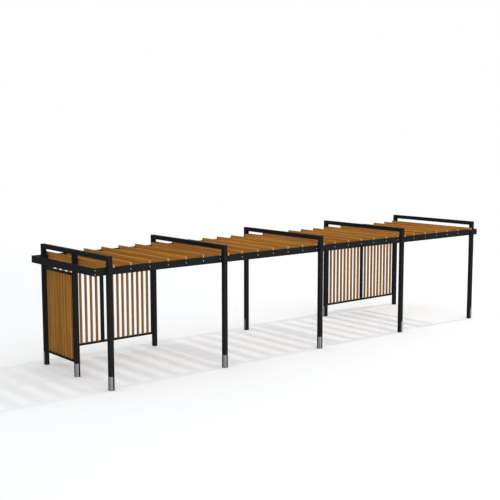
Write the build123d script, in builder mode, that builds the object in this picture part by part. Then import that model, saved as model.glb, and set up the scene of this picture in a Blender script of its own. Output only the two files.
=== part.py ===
from build123d import *
import os

os.makedirs("parts", exist_ok=True)

# Freestanding pergola of four equal bays. X runs along the row of frames,
# Y from the front posts to the back posts, Z up. The origin is on the floor
# at the middle of the footprint. All sizes are in millimetres.

# Portal frames of square steel tube
bay_count = 4
bay_pitch = 3000.0
frame_depth = 2880.0
post_size = 100.0
tube_corner = 6.0
crossbar_clearance = 79.0

# Flat roof frame that passes between the posts
beam_height = 160.0
beam_thickness = 50.0
beam_corner = 4.0
beam_clear_height = 2422.0
roof_overhang = 328.0

# Roof boards standing on edge across the roof frame
boards_per_bay = 7
board_thickness = 45.0
board_height = 190.0
board_above_beam = 59.0
board_to_frame = 80.0
board_shoulder_gap = 1.0
board_edge = 3.0

# Slatted panels between the posts
panel_foot_clearance = 315.0
panel_top_gap = 127.0
panel_depth = 70.0
stile_width = 40.0
rail_height = 45.0
mullion_width = 70.0
slats_per_half = 9
slat_width = 48.0
slat_depth = 48.0
slat_edge = 3.0

# Panel that closes the back half of the left end
end_panel_span = 1440.0
end_panel_slats = 9

# Bright angle covers on the foot of every post
cover_leg = 62.0
cover_sheet = 2.0
cover_height = 300.0
front_covers_turned_right = (4, 5)
back_covers_turned_right = (2, 5)

# Lines that the pieces share
half_post = post_size / 2
half_length = bay_count * bay_pitch / 2
frame_lines = [index * bay_pitch - half_length for index in range(bay_count + 1)]
front_line = -frame_depth / 2
back_line = frame_depth / 2
beam_line = beam_clear_height + beam_height / 2
beam_top = beam_clear_height + beam_height
beam_outer_face = back_line - half_post
beam_inner_face = beam_outer_face - beam_thickness
board_top = beam_top + board_above_beam
board_bottom = board_top - board_height
crossbar_line = board_top + crossbar_clearance + half_post
frame_height = crossbar_line + half_post
roof_half_length = half_length + roof_overhang
panel_top = beam_clear_height - panel_top_gap
panel_height = panel_top - panel_foot_clearance
infill_bottom = panel_foot_clearance + rail_height
infill_height = panel_height - 2 * rail_height

# Posts: square tubes from the floor up, mitred at the top into the crossbar
for frame_number, frame_x in enumerate(frame_lines, start=1):
    for side, post_y, inward in (("front", front_line, 1), ("back", back_line, -1)):
        with BuildPart() as post:
            with BuildSketch(Plane.XY):
                with Locations((frame_x, post_y)):
                    RectangleRounded(post_size, post_size, tube_corner)
            extrude(amount=frame_height)
            mitre_corner = (frame_x, post_y - inward * half_post, frame_height)
            split(bisect_by=Plane(origin=mitre_corner, z_dir=(0, inward, 1)), keep=Keep.BOTTOM)
        name = f"{side}_post_{frame_number}"
        post.part.label = name
        export_step(post.part, f"parts/{name}.step")

# Crossbars: the same tube over the roof boards, mitred into both posts
for frame_number, frame_x in enumerate(frame_lines, start=1):
    with BuildPart() as crossbar:
        front_end = (frame_x, front_line - half_post, crossbar_line)
        with BuildSketch(Plane(origin=front_end, x_dir=(1, 0, 0), z_dir=(0, 1, 0))):
            RectangleRounded(post_size, post_size, tube_corner)
        extrude(amount=frame_depth + post_size)
        for post_y, inward in ((front_line, 1), (back_line, -1)):
            mitre_corner = (frame_x, post_y - inward * half_post, frame_height)
            split(bisect_by=Plane(origin=mitre_corner, z_dir=(0, inward, 1)), keep=Keep.TOP)
    name = f"crossbar_{frame_number}"
    crossbar.part.label = name
    export_step(crossbar.part, f"parts/{name}.step")

# Extra post in the first frame, which carries the front edge of the end panel
end_post_y = back_line - end_panel_span
with BuildPart() as end_panel_post:
    with BuildSketch(Plane.XY):
        with Locations((frame_lines[0], end_post_y)):
            RectangleRounded(post_size, post_size, tube_corner)
    extrude(amount=frame_height - post_size)
end_panel_post.part.label = "end_panel_post"
export_step(end_panel_post.part, "parts/end_panel_post.step")

# Long roof beams: flat tubes against the inner faces of the posts
for side, outward in (("front", -1), ("back", 1)):
    with BuildPart() as long_beam:
        beam_y = outward * (beam_outer_face - beam_thickness / 2)
        left_end = (-roof_half_length, beam_y, beam_line)
        with BuildSketch(Plane(origin=left_end, x_dir=(0, 1, 0), z_dir=(1, 0, 0))):
            RectangleRounded(beam_thickness, beam_height, beam_corner)
        extrude(amount=2 * roof_half_length)
    name = f"{side}_beam"
    long_beam.part.label = name
    export_step(long_beam.part, f"parts/{name}.step")

# End beams: the same flat tube, butted between the two long beams
for side, outward in (("left", -1), ("right", 1)):
    with BuildPart() as end_beam:
        beam_x = outward * (roof_half_length - beam_thickness / 2)
        front_end = (beam_x, -beam_inner_face, beam_line)
        with BuildSketch(Plane(origin=front_end, x_dir=(1, 0, 0), z_dir=(0, 1, 0))):
            RectangleRounded(beam_thickness, beam_height, beam_corner)
        extrude(amount=2 * beam_inner_face)
    name = f"{side}_end_beam"
    end_beam.part.label = name
    export_step(end_beam.part, f"parts/{name}.step")

# Roof boards: notched over both long beams, seven to a bay.
# Beside each frame one board is longer and ends flush with the outer faces of the posts.
board_pitch = (bay_pitch - 2 * board_to_frame) / (boards_per_bay - 1)
long_board_lines = [frame_x + board_to_frame for frame_x in frame_lines[:-1]]
long_board_lines.append(frame_lines[-1] - board_to_frame)
board_rows = {"roof_boards_beside_frames": long_board_lines}
for bay_number, frame_x in enumerate(frame_lines[:-1], start=1):
    row_lines = [frame_x + board_to_frame + index * board_pitch for index in range(boards_per_bay)]
    last_short = boards_per_bay - 1 if bay_number == bay_count else boards_per_bay
    board_rows[f"roof_boards_bay_{bay_number}"] = row_lines[1:last_short]

shoulder_y = beam_inner_face - board_shoulder_gap
for name, board_lines in board_rows.items():
    board_end = back_line + half_post if name == "roof_boards_beside_frames" else beam_outer_face
    board_planes = [Plane.YZ.offset(board_x - board_thickness / 2) for board_x in board_lines]
    with BuildPart() as boards:
        with BuildSketch(*board_planes):
            with BuildLine():
                Polyline(
                    (-board_end, board_top),
                    (-board_end, beam_top),
                    (-shoulder_y, beam_top),
                    (-shoulder_y, board_bottom),
                    (shoulder_y, board_bottom),
                    (shoulder_y, beam_top),
                    (board_end, beam_top),
                    (board_end, board_top),
                    close=True,
                )
            make_face()
        extrude(amount=board_thickness)
        long_edges = boards.edges().filter_by(Axis.Y).group_by(Axis.Z)
        chamfer(long_edges[0] + long_edges[-1], board_edge)
    boards.part.label = name
    export_step(boards.part, f"parts/{name}.step")

# Back panels: a steel frame with a mullion fills the first bay and the last
for bay_index in (0, bay_count - 1):
    panel_name = f"back_panel_{bay_index + 1}"
    left_edge = frame_lines[bay_index] + half_post
    right_edge = frame_lines[bay_index + 1] - half_post
    panel_middle = (left_edge + right_edge) / 2
    rail_length = right_edge - left_edge - 2 * stile_width

    with BuildPart() as rails:
        with BuildSketch(Plane.XY.offset(panel_foot_clearance), Plane.XY.offset(panel_top - rail_height)):
            with Locations((panel_middle, back_line)):
                Rectangle(rail_length, panel_depth)
        extrude(amount=rail_height)
    rails.part.label = f"{panel_name}_rails"
    export_step(rails.part, f"parts/{panel_name}_rails.step")

    with BuildPart() as uprights:
        with BuildSketch(Plane.XY.offset(panel_foot_clearance)):
            with Locations((left_edge, back_line)):
                Rectangle(stile_width, panel_depth, align=(Align.MIN, Align.CENTER))
            with Locations((right_edge, back_line)):
                Rectangle(stile_width, panel_depth, align=(Align.MAX, Align.CENTER))
        extrude(amount=panel_height)
        with BuildSketch(Plane.XY.offset(infill_bottom)):
            with Locations((panel_middle, back_line)):
                Rectangle(mullion_width, panel_depth)
        extrude(amount=infill_height)
    uprights.part.label = f"{panel_name}_uprights"
    export_step(uprights.part, f"parts/{panel_name}_uprights.step")

    # Timber slats stand between the rails, evenly spaced on each side of the mullion
    half_opening = (rail_length - mullion_width) / 2
    slat_gap = (half_opening - slats_per_half * slat_width) / (slats_per_half + 1)
    slat_pitch = slat_width + slat_gap
    half_middle = (mullion_width + half_opening) / 2
    with BuildPart() as slats:
        with BuildSketch(Plane.XY.offset(infill_bottom)):
            with Locations((panel_middle - half_middle, back_line), (panel_middle + half_middle, back_line)):
                with GridLocations(slat_pitch, slat_pitch, slats_per_half, 1):
                    Rectangle(slat_width, slat_depth)
        extrude(amount=infill_height)
        chamfer(slats.edges().filter_by(Axis.Z), slat_edge)
    slats.part.label = f"{panel_name}_slats"
    export_step(slats.part, f"parts/{panel_name}_slats.step")

# End panel: the same steel frame, narrower and without a mullion, between the extra post
# and the back post of the first frame
end_panel_x = frame_lines[0]
end_front_edge = end_post_y + half_post
end_back_edge = back_line - half_post
end_middle = (end_front_edge + end_back_edge) / 2
end_rail_length = end_back_edge - end_front_edge - 2 * stile_width

with BuildPart() as end_rails:
    with BuildSketch(Plane.XY.offset(panel_foot_clearance), Plane.XY.offset(panel_top - rail_height)):
        with Locations((end_panel_x, end_middle)):
            Rectangle(panel_depth, end_rail_length)
    extrude(amount=rail_height)
end_rails.part.label = "end_panel_rails"
export_step(end_rails.part, "parts/end_panel_rails.step")

with BuildPart() as end_stiles:
    with BuildSketch(Plane.XY.offset(panel_foot_clearance)):
        with Locations((end_panel_x, end_front_edge)):
            Rectangle(panel_depth, stile_width, align=(Align.CENTER, Align.MIN))
        with Locations((end_panel_x, end_back_edge)):
            Rectangle(panel_depth, stile_width, align=(Align.CENTER, Align.MAX))
    extrude(amount=panel_height)
end_stiles.part.label = "end_panel_stiles"
export_step(end_stiles.part, "parts/end_panel_stiles.step")

# The same timber slats fill the end panel
end_slat_gap = (end_rail_length - end_panel_slats * slat_width) / (end_panel_slats + 1)
end_slat_pitch = slat_width + end_slat_gap
with BuildPart() as end_slats:
    with BuildSketch(Plane.XY.offset(infill_bottom)):
        with Locations((end_panel_x, end_middle)):
            with GridLocations(end_slat_pitch, end_slat_pitch, 1, end_panel_slats):
                Rectangle(slat_depth, slat_width)
    extrude(amount=infill_height)
    chamfer(end_slats.edges().filter_by(Axis.Z), slat_edge)
end_slats.part.label = "end_panel_slats"
export_step(end_slats.part, "parts/end_panel_slats.step")

# Foot covers: bent metal angles around one outer corner of each post
cover_rows = {
    "front_foot_covers": [
        (frame_x, front_line, 1 if number in front_covers_turned_right else -1, -1)
        for number, frame_x in enumerate(frame_lines, start=1)
    ],
    "back_foot_covers": [
        (frame_x, back_line, 1 if number in back_covers_turned_right else -1, 1)
        for number, frame_x in enumerate(frame_lines, start=1)
    ],
    "end_panel_post_cover": [(frame_lines[0], end_post_y, -1, -1)],
}
for name, corners in cover_rows.items():
    with BuildPart() as covers:
        with BuildSketch(Plane.XY):
            for post_x, post_y, turn_x, turn_y in corners:
                inner_x = post_x + turn_x * half_post
                inner_y = post_y + turn_y * half_post
                outer_x = inner_x + turn_x * cover_sheet
                outer_y = inner_y + turn_y * cover_sheet
                leg_x = outer_x - turn_x * cover_leg
                leg_y = outer_y - turn_y * cover_leg
                with BuildLine():
                    Polyline(
                        (outer_x, outer_y),
                        (leg_x, outer_y),
                        (leg_x, inner_y),
                        (inner_x, inner_y),
                        (inner_x, leg_y),
                        (outer_x, leg_y),
                        close=True,
                    )
                make_face()
        extrude(amount=cover_height)
    covers.part.label = name
    export_step(covers.part, f"parts/{name}.step")
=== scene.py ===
import math
import random

import bmesh
import bpy
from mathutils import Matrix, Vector


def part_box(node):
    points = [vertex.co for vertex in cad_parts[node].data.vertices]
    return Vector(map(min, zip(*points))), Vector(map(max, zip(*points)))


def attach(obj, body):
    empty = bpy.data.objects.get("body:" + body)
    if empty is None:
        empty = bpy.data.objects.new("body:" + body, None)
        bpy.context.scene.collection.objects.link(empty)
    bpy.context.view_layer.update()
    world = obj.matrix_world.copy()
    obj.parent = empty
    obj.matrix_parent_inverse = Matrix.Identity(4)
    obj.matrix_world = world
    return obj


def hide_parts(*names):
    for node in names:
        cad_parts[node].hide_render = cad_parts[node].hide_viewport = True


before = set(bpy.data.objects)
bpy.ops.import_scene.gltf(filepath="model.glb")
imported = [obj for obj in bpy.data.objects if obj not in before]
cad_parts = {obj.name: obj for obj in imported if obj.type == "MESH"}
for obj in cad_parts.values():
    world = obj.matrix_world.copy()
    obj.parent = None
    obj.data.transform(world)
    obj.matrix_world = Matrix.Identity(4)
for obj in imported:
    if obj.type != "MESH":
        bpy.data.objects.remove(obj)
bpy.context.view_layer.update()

# Portal frames. Each is two posts and a crossbar of square steel tube, mitred and
# welded over the roof, ground smooth and coated in a near-black satin powder.
portal_numbers = range(1, 6)
portal_nodes = [f"{side}_post_{n}" for side in ("front", "back") for n in portal_numbers]
portal_nodes += [f"crossbar_{n}" for n in portal_numbers]
portal_lines = [sum(corner.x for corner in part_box(f"front_post_{n}")) / 2 for n in portal_numbers]
bay_pitch = portal_lines[1] - portal_lines[0]
post_low, post_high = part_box("front_post_1")
post_size = post_high.x - post_low.x
post_face = -post_low.y
post_line = post_face - post_size / 2


def fill_sockets(tree, made, sockets):
    """Sets a node's sockets, or links them where another node's output is given."""
    for key, value in sockets.items():
        if isinstance(value, bpy.types.NodeSocket):
            tree.links.new(value, made.inputs[key])
        else:
            made.inputs[key].default_value = value


def add_node(tree, kind, sockets=None, **settings):
    """A node with its settings, whose sockets take either a value or another node's output."""
    made = tree.nodes.new(kind)
    for key, value in settings.items():
        setattr(made, key, value)
    fill_sockets(tree, made, sockets or {})
    return made


def noise(tree, place, scale, detail, roughness=0.5):
    """A soft noise over a place, mostly from 0.3 to 0.7."""
    sockets = {"Vector": place, "Scale": scale, "Detail": detail, "Roughness": roughness}
    return add_node(tree, "ShaderNodeTexNoise", sockets).outputs["Fac"]


def spread(tree, value, to_low, to_high, from_low=0.3, from_high=0.7):
    """A value, as a rule a noise, spread over another range and held at its two ends."""
    sockets = {"Value": value, "From Min": from_low, "From Max": from_high}
    sockets |= {"To Min": to_low, "To Max": to_high}
    return add_node(tree, "ShaderNodeMapRange", sockets).outputs["Result"]


def work_out(tree, operation, *terms):
    """One step of arithmetic on single values."""
    return add_node(tree, "ShaderNodeMath", dict(enumerate(terms)), operation=operation).outputs[0]


def between(tree, share, first, second):
    """A colour that goes from the first to the second as the share rises from 0 to 1."""
    return add_node(tree, "ShaderNodeMix", {0: share, 6: first, 7: second}, data_type="RGBA").outputs[2]


def bump(tree, height, strength, distance, **more):
    """The normal of a surface that this height roughens."""
    sockets = {"Height": height, "Strength": strength, "Distance": distance, **more}
    return add_node(tree, "ShaderNodeBump", sockets).outputs["Normal"]


def new_effect(name, inputs, outputs):
    """An empty node group with its named sockets, and what its two ends offer and take."""
    effect = bpy.data.node_groups.new(name, "ShaderNodeTree")
    for label, kind, value in inputs:
        socket = effect.interface.new_socket(label, in_out="INPUT", socket_type=kind)
        if value is not None:
            socket.default_value = value
    for label in outputs:
        effect.interface.new_socket(label, in_out="OUTPUT", socket_type="NodeSocketFloat")
    return effect, effect.nodes.new("NodeGroupInput").outputs, effect.nodes.new("NodeGroupOutput")


def place_effect(tree, effect, sockets):
    """Puts a finished effect into a material with that material's own values."""
    placed = tree.nodes.new("ShaderNodeGroup")
    placed.node_tree = effect
    fill_sockets(tree, placed, sockets)
    return placed.outputs


def new_finish(name):
    """A material with only its shader in it."""
    finish = bpy.data.materials.new(name)
    finish.use_nodes = True
    return finish, finish.node_tree, finish.node_tree.nodes["Principled BSDF"]


def put_on(piece, finish):
    """Gives a piece this one finish all over."""
    piece.data.materials.clear()
    piece.data.materials.append(finish)


# Fine orange peel and cloudy tone of a baked powder coat
coat_texture, coat_in, coat_out = new_effect(
    "powder_coat_texture",
    [("Place", "NodeSocketVector", None), ("Peel Size", "NodeSocketFloat", 0.003)],
    ["Tone", "Height"],
)
peel_rate = work_out(coat_texture, "DIVIDE", 1.0, coat_in["Peel Size"])
peel = noise(coat_texture, coat_in["Place"], scale=peel_rate, detail=2.0, roughness=0.45)
coat_cloud = noise(coat_texture, coat_in["Place"], scale=3.2, detail=4.0, roughness=0.6)
fill_sockets(coat_texture, coat_out, {"Tone": coat_cloud, "Height": peel})

# Rubbed arrises: strongest where the surface turns within the width
flat_likeness = 0.995
turned_likeness = 0.82
rubbed_edges, rub_in, rub_out = new_effect(
    "rubbed_edges",
    [("Place", "NodeSocketVector", None), ("Width", "NodeSocketFloat", 0.003)],
    ["Mask"],
)
rounded = add_node(rubbed_edges, "ShaderNodeBevel", {"Radius": rub_in["Width"]}, samples=4)
faced = add_node(rubbed_edges, "ShaderNodeNewGeometry")
likeness = add_node(
    rubbed_edges,
    "ShaderNodeVectorMath",
    {0: rounded.outputs["Normal"], 1: faced.outputs["Normal"]},
    operation="DOT_PRODUCT",
)
turn = spread(
    rubbed_edges, likeness.outputs["Value"], 0.0, 1.0, from_low=flat_likeness, from_high=turned_likeness
)
rub_cloud = noise(rubbed_edges, rub_in["Place"], scale=9.0, detail=3.0)
uneven = spread(rubbed_edges, rub_cloud, 0.35, 1.0, from_low=0.35)
fill_sockets(rubbed_edges, rub_out, {"Mask": work_out(rubbed_edges, "MULTIPLY", turn, uneven)})

# Weather from above: patchy, and only on faces turned up. It is dust on steel. On timber it is a
# paler film, part oil drawn out by rain and sun and part a painted highlight of light from above.
steepest_catch = 0.45
from_above_with_painted_highlight, above_in, above_out = new_effect(
    "weather_from_above_with_painted_highlight",
    [("Place", "NodeSocketVector", None), ("Amount", "NodeSocketFloat", 0.2)],
    ["Mask"],
)
facing = add_node(from_above_with_painted_highlight, "ShaderNodeNewGeometry").outputs["Normal"]
facing_up = add_node(from_above_with_painted_highlight, "ShaderNodeSeparateXYZ", {0: facing}).outputs["Z"]
catch = spread(from_above_with_painted_highlight, facing_up, 0.0, 1.0, from_low=steepest_catch, from_high=1.0)
above_cloud = noise(from_above_with_painted_highlight, above_in["Place"], scale=14.0, detail=5.0, roughness=0.65)
patch = work_out(from_above_with_painted_highlight, "MULTIPLY", catch, above_cloud)
fill_sockets(from_above_with_painted_highlight, above_out, {"Mask": work_out(from_above_with_painted_highlight, "MULTIPLY", patch, above_in["Amount"])})

coat_dark = (0.0114, 0.0116, 0.0121, 1.0)
coat_light = (0.0160, 0.0165, 0.0171, 1.0)
coat_rubbed = (0.032, 0.033, 0.035, 1.0)
dust_colour = (0.16, 0.15, 0.135, 1.0)
corner_round = 0.0015
powder_coat, coat_tree, coat_shader = new_finish("near_black_powder_coat")
coat_place = add_node(coat_tree, "ShaderNodeTexCoord").outputs["Object"]
coat_grain = place_effect(coat_tree, coat_texture, {"Place": coat_place, "Peel Size": 0.0035})
coat_rub = place_effect(coat_tree, rubbed_edges, {"Place": coat_place, "Width": 0.0025})
coat_dust = place_effect(coat_tree, from_above_with_painted_highlight, {"Place": coat_place, "Amount": 0.06})
coat_colour = between(coat_tree, coat_grain["Tone"], coat_dark, coat_light)
coat_colour = between(coat_tree, coat_rub["Mask"], coat_colour, coat_rubbed)
coat_colour = between(coat_tree, coat_dust["Mask"], coat_colour, dust_colour)
coat_round = add_node(coat_tree, "ShaderNodeBevel", {"Radius": corner_round}, samples=4).outputs["Normal"]
fill_sockets(coat_tree, coat_shader, {
    "Base Color": coat_colour,
    "Roughness": spread(coat_tree, coat_grain["Tone"], 0.42, 0.54),
    "Specular IOR Level": 0.005,
    "Normal": bump(coat_tree, coat_grain["Height"], strength=0.35, distance=0.0002, Normal=coat_round),
})
for name in portal_nodes + ["end_panel_post"]:
    put_on(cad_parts[name], powder_coat)

# Roof frame. Flat steel tubes run the whole length inside the posts, and two shorter ones
# close the ends. They carry the boards and have the same powder coat as the posts.
beam_low, beam_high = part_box("front_beam")
beam_outer_face = -beam_low.y
beam_inner_face = -beam_high.y
for name in ("front_beam", "back_beam", "left_end_beam", "right_end_beam"):
    put_on(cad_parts[name], powder_coat)

# Roof boards. Sawn and planed softwood, 190 by 45 mm, oiled orange-brown. Each stands on
# edge, is notched over both beams and has its long edges eased.
board_bottom, board_top = (corner.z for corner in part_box("roof_boards_bay_1"))
board_thickness = 0.045
board_arris = 0.003
shoulder_gap = 0.001
boards_per_bay = 7
board_to_portal = 0.080
board_pitch = (bay_pitch - 2 * board_to_portal) / (boards_per_bay - 1)
board_seed_step = 100

# How far a length of timber may lie from the pith of its log, and how far along the grain
# it may start. A face that looks this much along the timber is one of its two ends.
pith_shift = 0.11
pith_nearest = 0.03
pith_farthest = 0.09
farthest_start = 40.0
least_end_facing = 0.6
y_axis = 1
z_axis = 2


def sweep_outline(blank, outline, sweep):
    """Makes an outline into a face and draws it out into a closed solid."""
    first = blank.faces.new([blank.verts.new(corner) for corner in outline])
    swept = bmesh.ops.extrude_face_region(blank, geom=[first])
    moved = [item for item in swept["geom"] if isinstance(item, bmesh.types.BMVert)]
    bmesh.ops.translate(blank, vec=sweep, verts=moved)
    bmesh.ops.recalc_face_normals(blank, faces=blank.faces)


def add_to_pile(pile, blank):
    """Adds a finished solid to a pile of like parts."""
    cut = bpy.data.meshes.new("cut")
    blank.to_mesh(cut)
    blank.free()
    pile.from_mesh(cut)
    bpy.data.meshes.remove(cut)


def pile_to_piece(pile, name):
    """Turns a pile of like parts into one named piece in the scene."""
    shape = bpy.data.meshes.new(name)
    pile.to_mesh(shape)
    pile.free()
    piece = bpy.data.objects.new(name, shape)
    bpy.context.scene.collection.objects.link(piece)
    return piece


def saw_timber(pile, outline, sweep, along, arris, seed):
    """Cuts one length of timber, eases its edges and adds it to the pile with its own grain."""
    dice = random.Random(seed)
    blank = bmesh.new()
    sweep_outline(blank, outline, sweep)
    bmesh.ops.bevel(blank, geom=blank.edges[:], offset=arris, segments=2, profile=0.5, affect="EDGES")
    place = blank.verts.layers.float_vector.new("timber_place")
    tone = blank.faces.layers.float.new("timber_tone")
    end = blank.faces.layers.float.new("timber_end")
    middle = sum((vert.co for vert in blank.verts), Vector()) / len(blank.verts)
    across = [axis for axis in range(3) if axis != along]
    pith_side = dice.uniform(-pith_shift, pith_shift)
    pith_depth = dice.choice((-1, 1)) * dice.uniform(pith_nearest, pith_farthest)
    start = dice.uniform(0.0, farthest_start)
    flip = dice.choice((-1, 1))
    for vert in blank.verts:
        out = vert.co - middle
        vert[place] = (flip * out[along] + start, out[across[0]] + pith_side, out[across[1]] + pith_depth)
    shade = dice.random()
    for face in blank.faces:
        face.normal_update()
        face[tone] = shade
        face[end] = 1.0 if abs(face.normal[along]) > least_end_facing else 0.0
        face.smooth = False
    add_to_pile(pile, blank)


def work_out_place(tree, operation, first, second):
    """One step of arithmetic on two places or colours."""
    return add_node(tree, "ShaderNodeVectorMath", {0: first, 1: second}, operation=operation).outputs[0]


def scale_place(tree, place, share):
    """A place or a colour made larger or smaller by a share."""
    return add_node(tree, "ShaderNodeVectorMath", {0: place, "Scale": share}, operation="SCALE").outputs[0]


# Grain of a sawn board: yearly rings round its pith, long fibres and slow streaks. The first
# axis of its place runs along the board, so each of these is stretched that way.
wander_stretch = (0.9, 5.0, 5.0)
fibre_stretch = (14.0, 620.0, 620.0)
streak_stretch = (0.7, 42.0, 42.0)
across_only = (0.0, 1.0, 1.0)
noise_middle = (0.5, 0.5, 0.5)
late_sharpness = 3.0
ring_ends_from = 0.93
latewood_height = 0.6
timber_grain, grain_in, grain_out = new_effect(
    "timber_grain",
    [
        ("Place", "NodeSocketVector", None),
        ("Ring Width", "NodeSocketFloat", 0.004),
        ("Wander", "NodeSocketFloat", 0.012),
    ],
    ["Latewood", "Fibre", "Streak", "Height"],
)
wander_place = work_out_place(timber_grain, "MULTIPLY", grain_in["Place"], wander_stretch)
wander = add_node(timber_grain, "ShaderNodeTexNoise", {"Vector": wander_place, "Scale": 1.0, "Detail": 3.0})
wander_centred = work_out_place(timber_grain, "SUBTRACT", wander.outputs["Color"], noise_middle)
bend = scale_place(timber_grain, wander_centred, grain_in["Wander"])
bent = work_out_place(timber_grain, "ADD", grain_in["Place"], bend)
across_grain = work_out_place(timber_grain, "MULTIPLY", bent, across_only)
from_pith = add_node(timber_grain, "ShaderNodeVectorMath", {0: across_grain}, operation="LENGTH")
rings = work_out(timber_grain, "DIVIDE", from_pith.outputs["Value"], grain_in["Ring Width"])
ring_part = work_out(timber_grain, "FRACT", rings)
late_rise = work_out(timber_grain, "POWER", ring_part, late_sharpness)
late_fall = spread(timber_grain, ring_part, 1.0, 0.0, from_low=ring_ends_from, from_high=1.0)
latewood = work_out(timber_grain, "MULTIPLY", late_rise, late_fall)
fibre_place = work_out_place(timber_grain, "MULTIPLY", grain_in["Place"], fibre_stretch)
fibre = noise(timber_grain, fibre_place, scale=1.0, detail=3.0, roughness=0.6)
streak_place = work_out_place(timber_grain, "MULTIPLY", grain_in["Place"], streak_stretch)
streak = noise(timber_grain, streak_place, scale=1.0, detail=4.0, roughness=0.55)
grain_height = work_out(timber_grain, "MULTIPLY_ADD", latewood, latewood_height, fibre)
fill_sockets(timber_grain, grain_out, {
    "Latewood": latewood, "Fibre": fibre, "Streak": streak, "Height": grain_height,
})

late_strength = 0.75
rub_strength = 0.35
dark_streak = (0.72, 0.63, 0.58, 1.0)
pale_streak = (1.25, 1.34, 1.38, 1.0)
# Colour of paler timber tops: weathered oil and a painted highlight of light from above.
painted_highlight_and_bleached_colour = (0.62, 0.385, 0.150, 1.0)


def oiled_timber(name, early, late, end_grain_with_painted_highlight, difference):
    """Oiled softwood: rings, fibres, streaks, rubbed edges, ends paler in tone and by a painted highlight,
    and tops paler from weathering and a painted highlight.
    """
    finish, tree, shader = new_finish(name)
    place = add_node(tree, "ShaderNodeAttribute", attribute_name="timber_place").outputs["Vector"]
    tone = add_node(tree, "ShaderNodeAttribute", attribute_name="timber_tone").outputs["Fac"]
    end = add_node(tree, "ShaderNodeAttribute", attribute_name="timber_end").outputs["Fac"]
    grain = place_effect(tree, timber_grain, {"Place": place, "Ring Width": 0.0042, "Wander": 0.014})
    rub = place_effect(tree, rubbed_edges, {"Place": place, "Width": 0.004})
    # Paler tops: part weathered oil, part a painted highlight where light falls from above.
    painted_highlight_and_bleach = place_effect(tree, from_above_with_painted_highlight, {"Place": place, "Amount": 0.34})
    late_share = work_out(tree, "MULTIPLY", grain["Latewood"], late_strength)
    colour = between(tree, late_share, early, late)
    streak_tint = between(tree, spread(tree, grain["Streak"], 0.0, 1.0), dark_streak, pale_streak)
    colour = work_out_place(tree, "MULTIPLY", colour, streak_tint)
    fibre_share = spread(tree, grain["Fibre"], 0.88, 1.10)
    piece_share = spread(tree, tone, 1.0 - difference, 1.0 + difference, from_low=0.0, from_high=1.0)
    colour = scale_place(tree, colour, work_out(tree, "MULTIPLY", fibre_share, piece_share))
    # Ends take the end grain colour, paler in its own tone and by a painted highlight.
    colour = between(tree, end, colour, end_grain_with_painted_highlight)
    colour = between(tree, work_out(tree, "MULTIPLY", grain["Latewood"], end), colour, late)
    colour = between(tree, work_out(tree, "MULTIPLY", rub["Mask"], rub_strength), colour, end_grain_with_painted_highlight)
    colour = between(tree, painted_highlight_and_bleach["Mask"], colour, painted_highlight_and_bleached_colour)
    fill_sockets(tree, shader, {
        "Base Color": colour,
        "Roughness": spread(tree, grain["Fibre"], 0.56, 0.70),
        "Specular IOR Level": 0.12,
        "Normal": bump(tree, grain["Height"], strength=0.5, distance=0.0004),
    })
    return finish


roof_timber = oiled_timber(
    "oiled_roof_timber",
    early=(0.437, 0.182, 0.0205, 1.0),
    late=(0.260, 0.097, 0.0115, 1.0),
    end_grain_with_painted_highlight=(0.360, 0.209, 0.080, 1.0),
    difference=0.10,
)


def add_roof_board(pile, board_x, board_end, seed):
    """One roof board, notched over both beams, with its middle at this distance along the row."""
    side = board_x - board_thickness / 2
    shoulder = beam_inner_face - shoulder_gap
    outline = [
        (side, -board_end, board_top),
        (side, -board_end, beam_high.z),
        (side, -shoulder, beam_high.z),
        (side, -shoulder, board_bottom),
        (side, shoulder, board_bottom),
        (side, shoulder, beam_high.z),
        (side, board_end, beam_high.z),
        (side, board_end, board_top),
    ]
    saw_timber(pile, outline, (board_thickness, 0.0, 0.0), y_axis, board_arris, seed)


# Beside each portal one board is longer and ends flush with the outer faces of the posts
bay_lines = [
    [portal_x + board_to_portal + index * board_pitch for index in range(boards_per_bay)]
    for portal_x in portal_lines[:-1]
]
roof_rows = {"roof_boards_beside_frames": [lines[0] for lines in bay_lines] + [bay_lines[-1][-1]]}
for bay, lines in enumerate(bay_lines, start=1):
    roof_rows[f"roof_boards_bay_{bay}"] = lines[1:-1] if bay == len(bay_lines) else lines[1:]
for row_number, (name, lines) in enumerate(roof_rows.items()):
    pile = bmesh.new()
    board_end = post_face if name == "roof_boards_beside_frames" else beam_outer_face
    for index, board_x in enumerate(lines):
        add_roof_board(pile, board_x, board_end, board_seed_step * row_number + index)
    boards = pile_to_piece(pile, f"oiled_{name}")
    put_on(boards, roof_timber)
    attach(boards, "root")
    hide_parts(name)

# Bolts. A zinc-plated dome-headed bolt on a flat washer comes through the long beam into
# the shoulder of each roof board, and two hold each end of both end beams.
washer_radius = 0.0125
washer_thickness = 0.0025
washer_ease = 0.0006
washer_underside_ease = 0.0004
dome_radius = 0.0090
dome_height = 0.007
dome_foot = 0.0002
dome_rim = 0.0012
dome_curve = ((0.93, 0.42), (0.74, 0.72), (0.44, 0.93))
bolt_sides = 20
board_bolt_rise = 0.084
corner_bolt_rises = (0.037, 0.121)
corner_bolt_x = sum(corner.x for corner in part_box("right_end_beam")) / 2
bolt_profile = [
    (washer_radius - washer_underside_ease, 0.0),
    (washer_radius, washer_ease),
    (washer_radius, washer_thickness - washer_ease),
    (washer_radius - washer_ease, washer_thickness),
    (dome_radius + dome_foot, washer_thickness),
    (dome_radius, washer_thickness + dome_rim),
]
bolt_profile += [(dome_radius * out, washer_thickness + dome_height * up) for out, up in dome_curve]


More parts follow.
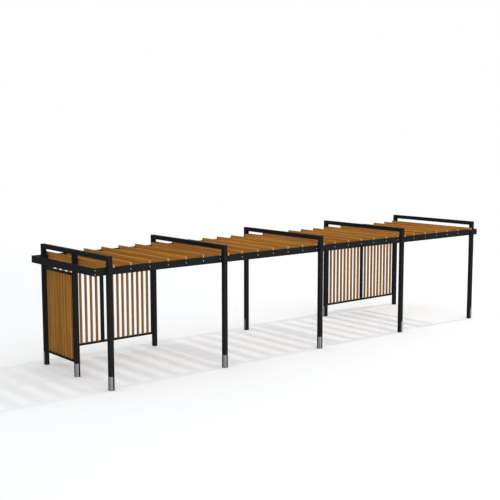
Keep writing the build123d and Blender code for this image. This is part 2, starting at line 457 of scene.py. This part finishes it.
def add_bolt(pile, centre, outward):
    """One washer and domed head, turned about its axis, standing on a face that looks along Y."""
    rings = []
    for radius, out in bolt_profile:
        ring = []
        for step in range(bolt_sides):
            angle = 2 * math.pi * step / bolt_sides
            spot = Vector((radius * math.cos(angle), outward * out, radius * math.sin(angle)))
            ring.append(pile.verts.new(Vector(centre) + spot))
        rings.append(ring)
    faces = []
    for lower, upper in zip(rings, rings[1:]):
        for step in range(bolt_sides):
            after = (step + 1) % bolt_sides
            faces.append(pile.faces.new((lower[step], lower[after], upper[after], upper[step])))
    crown_spot = Vector((0.0, outward * (washer_thickness + dome_height), 0.0))
    crown = pile.verts.new(Vector(centre) + crown_spot)
    for step in range(bolt_sides):
        faces.append(pile.faces.new((rings[-1][step], rings[-1][(step + 1) % bolt_sides], crown)))
    faces.append(pile.faces.new(rings[0][::-1]))
    bmesh.ops.recalc_face_normals(pile, faces=faces)


zinc_dark = (0.33, 0.335, 0.34, 1.0)
zinc_light = (0.46, 0.465, 0.465, 1.0)
zinc, zinc_tree, zinc_shader = new_finish("zinc_plated_bolts")
zinc_place = add_node(zinc_tree, "ShaderNodeTexCoord").outputs["Object"]
zinc_cloud = noise(zinc_tree, zinc_place, scale=260.0, detail=3.0, roughness=0.6)
fill_sockets(zinc_tree, zinc_shader, {
    "Base Color": between(zinc_tree, zinc_cloud, zinc_dark, zinc_light),
    "Roughness": spread(zinc_tree, zinc_cloud, 0.28, 0.42),
    "Metallic": 1.0,
    "Normal": bump(zinc_tree, zinc_cloud, strength=0.2, distance=0.0002),
})

for side, outward in (("front", -1), ("back", 1)):
    pile = bmesh.new()
    for board_x in sum(bay_lines, []):
        add_bolt(pile, (board_x, outward * beam_outer_face, beam_low.z + board_bolt_rise), outward)
    for end in (-1, 1):
        for rise in corner_bolt_rises:
            add_bolt(pile, (end * corner_bolt_x, outward * beam_outer_face, beam_low.z + rise), outward)
    bolts = pile_to_piece(pile, f"{side}_beam_bolts")
    for face in bolts.data.polygons:
        face.use_smooth = True
    put_on(bolts, zinc)
    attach(bolts, "root")

# Back panels. The first bay and the last have a steel frame with a mullion between the back
# posts. Upright slats of oiled softwood are set between its rails. Their copy of the timber is
# darker than the roof's, and darker than the end panel's as painted shade.
slats_low, slats_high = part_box("back_panel_1_slats")
slat_width = 0.048
slat_depth = slats_high.y - slats_low.y
slat_arris = 0.003
slats_per_half = 9
stile_width = 0.040
mullion_width = 0.070
half_opening = (bay_pitch - post_size - 2 * stile_width - mullion_width) / 2
slat_gap = (half_opening - slats_per_half * slat_width) / (slats_per_half + 1)
panel_seed_step = 1000
half_seed_step = 50
# End grain colour of the slats, lifted by a painted highlight on lit ends.
slat_end_grain_with_painted_highlight = (0.39, 0.227, 0.086, 1.0)
slat_difference = 0.08
# A darker copy of the slat timber: painted shade on slats that face the front lamps.
panel_timber = oiled_timber(
    "oiled_back_panel_timber_painted_shade",
    early=(0.270, 0.1145, 0.0130, 1.0),
    late=(0.159, 0.0610, 0.0075, 1.0),
    end_grain_with_painted_highlight=slat_end_grain_with_painted_highlight,
    difference=slat_difference,
)


def add_slat(pile, middle_x, middle_y, wide, deep, seed):
    """One upright slat between a panel's rails."""
    outline = [
        (middle_x - wide / 2, middle_y - deep / 2, slats_low.z),
        (middle_x + wide / 2, middle_y - deep / 2, slats_low.z),
        (middle_x + wide / 2, middle_y + deep / 2, slats_low.z),
        (middle_x - wide / 2, middle_y + deep / 2, slats_low.z),
    ]
    saw_timber(pile, outline, (0.0, 0.0, slats_high.z - slats_low.z), z_axis, slat_arris, seed)


for bay in (1, len(bay_lines)):
    for part in ("rails", "uprights"):
        put_on(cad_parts[f"back_panel_{bay}_{part}"], powder_coat)
    panel_middle = portal_lines[bay - 1] + bay_pitch / 2
    pile = bmesh.new()
    for half in (-1, 1):
        half_middle = panel_middle + half * (mullion_width + half_opening) / 2
        for index in range(slats_per_half):
            slat_x = half_middle + (index - (slats_per_half - 1) / 2) * (slat_width + slat_gap)
            seed = panel_seed_step * bay + half_seed_step * (half + 1) + index
            add_slat(pile, slat_x, post_line, slat_width, slat_depth, seed)
    slats = pile_to_piece(pile, f"oiled_back_panel_{bay}_slats")
    put_on(slats, panel_timber)
    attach(slats, "root")
    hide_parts(f"back_panel_{bay}_slats")

# End panel. A narrower steel frame of the same kind stands between the extra post and the
# back post of the first portal. Its nine slats are paler than the back panels', whose darker copy
# of the same timber is painted shade.
end_post_front, end_post_back = (corner.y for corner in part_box("end_panel_post"))
back_post_front = post_line - post_size / 2
end_panel_middle = (end_post_back + back_post_front) / 2
end_slat_count = 9
end_opening = back_post_front - end_post_back - 2 * stile_width
end_slat_gap = (end_opening - end_slat_count * slat_width) / (end_slat_count + 1)
end_slat_seed = 7000
for name in ("end_panel_rails", "end_panel_stiles"):
    put_on(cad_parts[name], powder_coat)
end_panel_timber = oiled_timber(
    "oiled_end_panel_timber",
    early=(0.320, 0.136, 0.0156, 1.0),
    late=(0.190, 0.0725, 0.009, 1.0),
    end_grain_with_painted_highlight=slat_end_grain_with_painted_highlight,
    difference=slat_difference,
)
pile = bmesh.new()
for index in range(end_slat_count):
    slat_y = end_panel_middle + (index - (end_slat_count - 1) / 2) * (slat_width + end_slat_gap)
    add_slat(pile, portal_lines[0], slat_y, slat_depth, slat_width, end_slat_seed + index)
end_slats = pile_to_piece(pile, "oiled_end_panel_slats")
put_on(end_slats, end_panel_timber)
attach(end_slats, "root")
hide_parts("end_panel_slats")

# Foot covers. An angle of 2 mm brushed stainless sheet, bent to the tube's rounded corner,
# protects one outer corner of every post from the ground up to 300 mm.
cover_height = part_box("front_foot_covers")[1].z
cover_leg = 0.062
cover_sheet = 0.002
cover_bend = 0.008
cover_arris = 0.0004
bend_steps = 6
least_sharp_turn = math.radians(50)


def add_cover(pile, post_x, post_y, turn_x, turn_y):
    """One bent angle round the corner of a post that these turns point at."""
    reach = post_size / 2 + cover_sheet
    corner = Vector((post_x + turn_x * reach, post_y + turn_y * reach, 0.0))
    angles = [math.pi / 2 * step / bend_steps for step in range(bend_steps + 1)]
    outer = [(cover_leg, 0.0)]
    outer += [(cover_bend - cover_bend * math.sin(a), cover_bend - cover_bend * math.cos(a)) for a in angles]
    outer.append((0.0, cover_leg))
    inside = cover_bend - cover_sheet
    inner = [(cover_sheet, cover_leg)]
    inner += [(cover_bend - inside * math.cos(a), cover_bend - inside * math.sin(a)) for a in angles]
    inner.append((cover_leg, cover_sheet))
    outline = [corner + Vector((-turn_x * u, -turn_y * v, 0.0)) for u, v in outer + inner]
    sheet = bmesh.new()
    sweep_outline(sheet, outline, (0.0, 0.0, cover_height))
    sharp = [edge for edge in sheet.edges if edge.calc_face_angle(0.0) > least_sharp_turn]
    bmesh.ops.bevel(sheet, geom=sharp, offset=cover_arris, segments=1, profile=0.5, affect="EDGES")
    add_to_pile(pile, sheet)


brush_stretch = (620.0, 620.0, 5.0)
brushed_dark = (0.106, 0.106, 0.109, 1.0)
brushed_light = (0.326, 0.326, 0.326, 1.0)
brushed_rubbed = (0.36, 0.36, 0.36, 1.0)
cloud_share = 0.35
brushed, brushed_tree, brushed_shader = new_finish("brushed_stainless_sheet")
brushed_place = add_node(brushed_tree, "ShaderNodeTexCoord").outputs["Object"]
brush_place = work_out_place(brushed_tree, "MULTIPLY", brushed_place, brush_stretch)
brush_lines = noise(brushed_tree, brush_place, scale=1.0, detail=3.0, roughness=0.6)
brush_cloud = noise(brushed_tree, brushed_place, scale=18.0, detail=4.0, roughness=0.6)
brush_mix = add_node(
    brushed_tree,
    "ShaderNodeMix",
    {0: cloud_share, 2: brush_lines, 3: brush_cloud},
    data_type="FLOAT",
).outputs[0]
brushed_rub = place_effect(brushed_tree, rubbed_edges, {"Place": brushed_place, "Width": 0.001})
brushed_colour = between(brushed_tree, brush_mix, brushed_dark, brushed_light)
brushed_colour = between(brushed_tree, brushed_rub["Mask"], brushed_colour, brushed_rubbed)
fill_sockets(brushed_tree, brushed_shader, {
    "Base Color": brushed_colour,
    "Roughness": spread(brushed_tree, brush_mix, 0.34, 0.50),
    "Metallic": 1.0,
    "Normal": bump(brushed_tree, brush_lines, strength=0.25, distance=0.0001),
})

# Each row gives a post's place and the corner of it that is covered
front_covers_turned_right = (4, 5)
back_covers_turned_right = (2, 5)
end_post_line = (end_post_front + end_post_back) / 2
cover_rows = {"front_foot_covers": [], "back_foot_covers": [], "end_panel_post_cover": []}
for number, x in zip(portal_numbers, portal_lines):
    front_turn = 1 if number in front_covers_turned_right else -1
    back_turn = 1 if number in back_covers_turned_right else -1
    cover_rows["front_foot_covers"].append((x, -post_line, front_turn, -1))
    cover_rows["back_foot_covers"].append((x, post_line, back_turn, 1))
cover_rows["end_panel_post_cover"].append((portal_lines[0], end_post_line, -1, -1))
for name, corners in cover_rows.items():
    pile = bmesh.new()
    for post_x, post_y, turn_x, turn_y in corners:
        add_cover(pile, post_x, post_y, turn_x, turn_y)
    covers = pile_to_piece(pile, f"bent_{name}")
    put_on(covers, brushed)
    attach(covers, "root")
    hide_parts(name)

# Floor. A plain sheet of pale paper lies under the posts. It takes the shadow of the roof
# and runs out to white some way off.
floor_half = 80.0
floor_fade_from = 11.0
floor_fade_to = 24.0
floor_lift = 0.066
floor_dark = (0.93, 0.93, 0.93, 1.0)
floor_light = (0.945, 0.945, 0.945, 1.0)
pure_white = (1.0, 1.0, 1.0, 1.0)
floor_mesh = bpy.data.meshes.new("pale_floor")
floor_turns = ((-1, -1), (1, -1), (1, 1), (-1, 1))
floor_corners = [(turn_x * floor_half, turn_y * floor_half, 0.0) for turn_x, turn_y in floor_turns]
floor_mesh.from_pydata(floor_corners, [], [(0, 1, 2, 3)])
floor = bpy.data.objects.new("pale_floor", floor_mesh)
bpy.context.scene.collection.objects.link(floor)


def seen_by_camera(tree):
    """1 for rays from the camera, also by way of metal or glass, and 0 for the light's own."""
    path = add_node(tree, "ShaderNodeLightPath").outputs
    seen = work_out(tree, "MAXIMUM", path["Is Camera Ray"], path["Is Glossy Ray"])
    return work_out(tree, "MAXIMUM", seen, path["Is Transmission Ray"])


def either(tree, share, first, second):
    """A shader that goes from the first to the second as the share rises from 0 to 1."""
    return add_node(tree, "ShaderNodeMixShader", {0: share, 1: first, 2: second}).outputs["Shader"]


floor_finish, floor_tree, floor_shader = new_finish("pale_floor_paper")
floor_place = add_node(floor_tree, "ShaderNodeTexCoord").outputs["Object"]
paper_cloud = noise(floor_tree, floor_place, scale=1.3, detail=4.0)
fill_sockets(floor_tree, floor_shader, {
    "Base Color": between(floor_tree, paper_cloud, floor_dark, floor_light),
    "Roughness": 1.0,
    "Specular IOR Level": 0.0,
})
floor_white = add_node(floor_tree, "ShaderNodeEmission", {"Color": pure_white, "Strength": 1.0})
floor_reach = add_node(floor_tree, "ShaderNodeVectorMath", {0: floor_place}, operation="LENGTH")
floor_far = add_node(
    floor_tree,
    "ShaderNodeMapRange",
    {"Value": floor_reach.outputs["Value"], "From Min": floor_fade_from, "From Max": floor_fade_to},
    interpolation_type="SMOOTHSTEP",
).outputs["Result"]
floor_seen = seen_by_camera(floor_tree)
floor_glow = add_node(
    floor_tree,
    "ShaderNodeEmission",
    {"Color": pure_white, "Strength": work_out(floor_tree, "MULTIPLY", floor_seen, floor_lift)},
)
floor_near = add_node(
    floor_tree,
    "ShaderNodeAddShader",
    {0: floor_shader.outputs["BSDF"], 1: floor_glow.outputs["Emission"]},
)
floor_surface = either(
    floor_tree,
    work_out(floor_tree, "MULTIPLY", floor_seen, floor_far),
    floor_near.outputs["Shader"],
    floor_white.outputs["Emission"],
)
fill_sockets(floor_tree, floor_tree.nodes["Material Output"], {"Surface": floor_surface})
put_on(floor, floor_finish)

# Light. An even pale dome does most of it, and a weak key high on the right lays the stripes
# of the roof boards on the floor. Of two broad lamps in front, one lifts the front faces and
# the other, low on the right, puts a sheen on the stainless covers and the bolts.
dome_colour = (0.968, 0.99, 1.010, 1.0)
dome_strength = 0.86
studio = bpy.data.worlds.new("studio")
bpy.context.scene.world = studio
studio.use_nodes = True
studio_tree = studio.node_tree
dome = studio_tree.nodes["Background"]
fill_sockets(studio_tree, dome, {"Color": dome_colour, "Strength": dome_strength})
white = add_node(studio_tree, "ShaderNodeBackground", {"Color": pure_white, "Strength": 1.0})
studio_surface = either(
    studio_tree,
    seen_by_camera(studio_tree),
    dome.outputs["Background"],
    white.outputs["Background"],
)
fill_sockets(studio_tree, studio_tree.nodes["World Output"], {"Surface": studio_surface})


def hang_lamp(light, place):
    """Puts a light in the studio at this place, under its own name."""
    lamp = bpy.data.objects.new(light.name, light)
    lamp.location = place
    bpy.context.scene.collection.objects.link(lamp)
    return lamp


def hang_broad_lamp(name, wide, high, energy, place, aim):
    """Hangs a flat lamp that faces its aim."""
    light = bpy.data.lights.new(name, "AREA")
    light.shape = "RECTANGLE"
    light.size = wide
    light.size_y = high
    light.energy = energy
    lamp = hang_lamp(light, place)
    lamp.rotation_euler = (Vector(aim) - Vector(place)).to_track_quat("-Z", "Y").to_euler()


key = bpy.data.lights.new("key", "POINT")
key.energy = 9000.0
key.shadow_soft_size = 0.45
key.color = (1.0, 0.97, 0.94)
hang_lamp(key, place=(22.94, -2.12, 25.6))
hang_broad_lamp(
    "front_fill", wide=22.0, high=6.0, energy=2300.0, place=(-2.0, -24.0, 3.2), aim=(-2.0, 0.0, 1.6)
)
hang_broad_lamp(
    "front_strip", wide=18.0, high=4.0, energy=700.0, place=(16.0, -22.0, 2.1), aim=(0.0, 0.0, 0.6)
)

# Camera. A long lens stands some 19 m off the front left corner and over 5 m up, and looks
# slightly down.
look_down = math.radians(7.066)
look_right = math.radians(39.600)
camera_roll = math.radians(0.047)
camera_data = bpy.data.cameras.new("camera")
camera_data.sensor_width = 36.0
camera_data.lens = 66.38
camera_data.clip_end = 500.0
camera = bpy.data.objects.new("camera", camera_data)
camera.location = (-15.699, -17.696, 5.265)
camera.rotation_euler = (math.pi / 2 - look_down, camera_roll, -look_right)
bpy.context.scene.collection.objects.link(camera)
bpy.context.scene.camera = camera
bpy.context.scene.view_settings.view_transform = "Standard"
